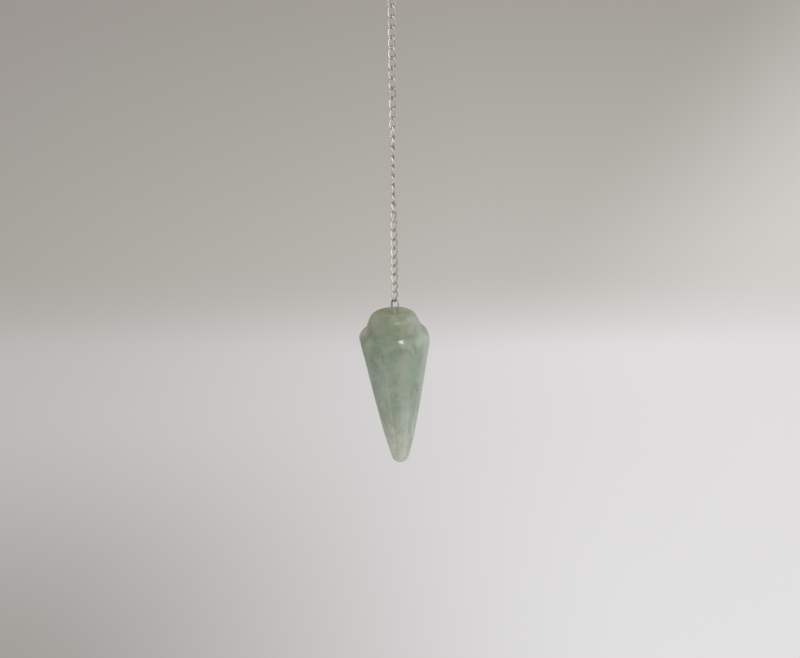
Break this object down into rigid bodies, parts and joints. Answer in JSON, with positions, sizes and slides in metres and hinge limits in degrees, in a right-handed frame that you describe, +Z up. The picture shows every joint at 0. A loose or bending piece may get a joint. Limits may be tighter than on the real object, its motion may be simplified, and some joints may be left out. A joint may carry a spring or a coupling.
{
  "type": "pendulum pendant",
  "caption": "Pendulum pendant: a faceted stone cone with a cap and a round shoulder, hung by a wire eye on a fine twisted curb chain with a plain end ring.",
  "frame": {"origin": "inside of the end ring's top, where the chain hangs on a finger, peg or hook", "axes": "+Z up along the hanging chain, +X to the viewer's right in the picture, +Y away from the viewer"},
  "size_m": [0.018, 0.018, 0.125],
  "materials": {
    "stone": "polished, cloudy and translucent, mottled grey green",
    "chain": "polished silver, darker between the links",
    "eye": "polished silver wire with a brown tarnish low on its legs"
  },
  "bodies": {
    "chain": {"end_ring": "chain", "link_1": "chain", "link_2": "chain", "link_3": "chain", "link_4": "chain", "link_5": "chain", "link_6": "chain", "link_7": "chain", "link_8": "chain", "link_9": "chain", "link_10": "chain", "link_11": "chain", "link_12": "chain", "link_13": "chain", "link_14": "chain", "link_15": "chain", "link_16": "chain", "link_17": "chain", "link_18": "chain", "link_19": "chain", "link_20": "chain", "link_21": "chain", "link_22": "chain", "link_23": "chain", "link_24": "chain", "link_25": "chain", "link_26": "chain", "link_27": "chain", "link_28": "chain", "link_29": "chain", "link_30": "chain", "link_31": "chain", "link_32": "chain"},
    "pendant": {"eye_loop": "eye", "stone": "stone"}
  },
  "joints": [
    {"name": "pendant_swing", "type": "hinge", "parent": "chain", "child": "pendant", "pos_m": [0, 0, -0.0782], "axis": [0, 1, 0], "range_deg": [-105, 105]}
  ]
}
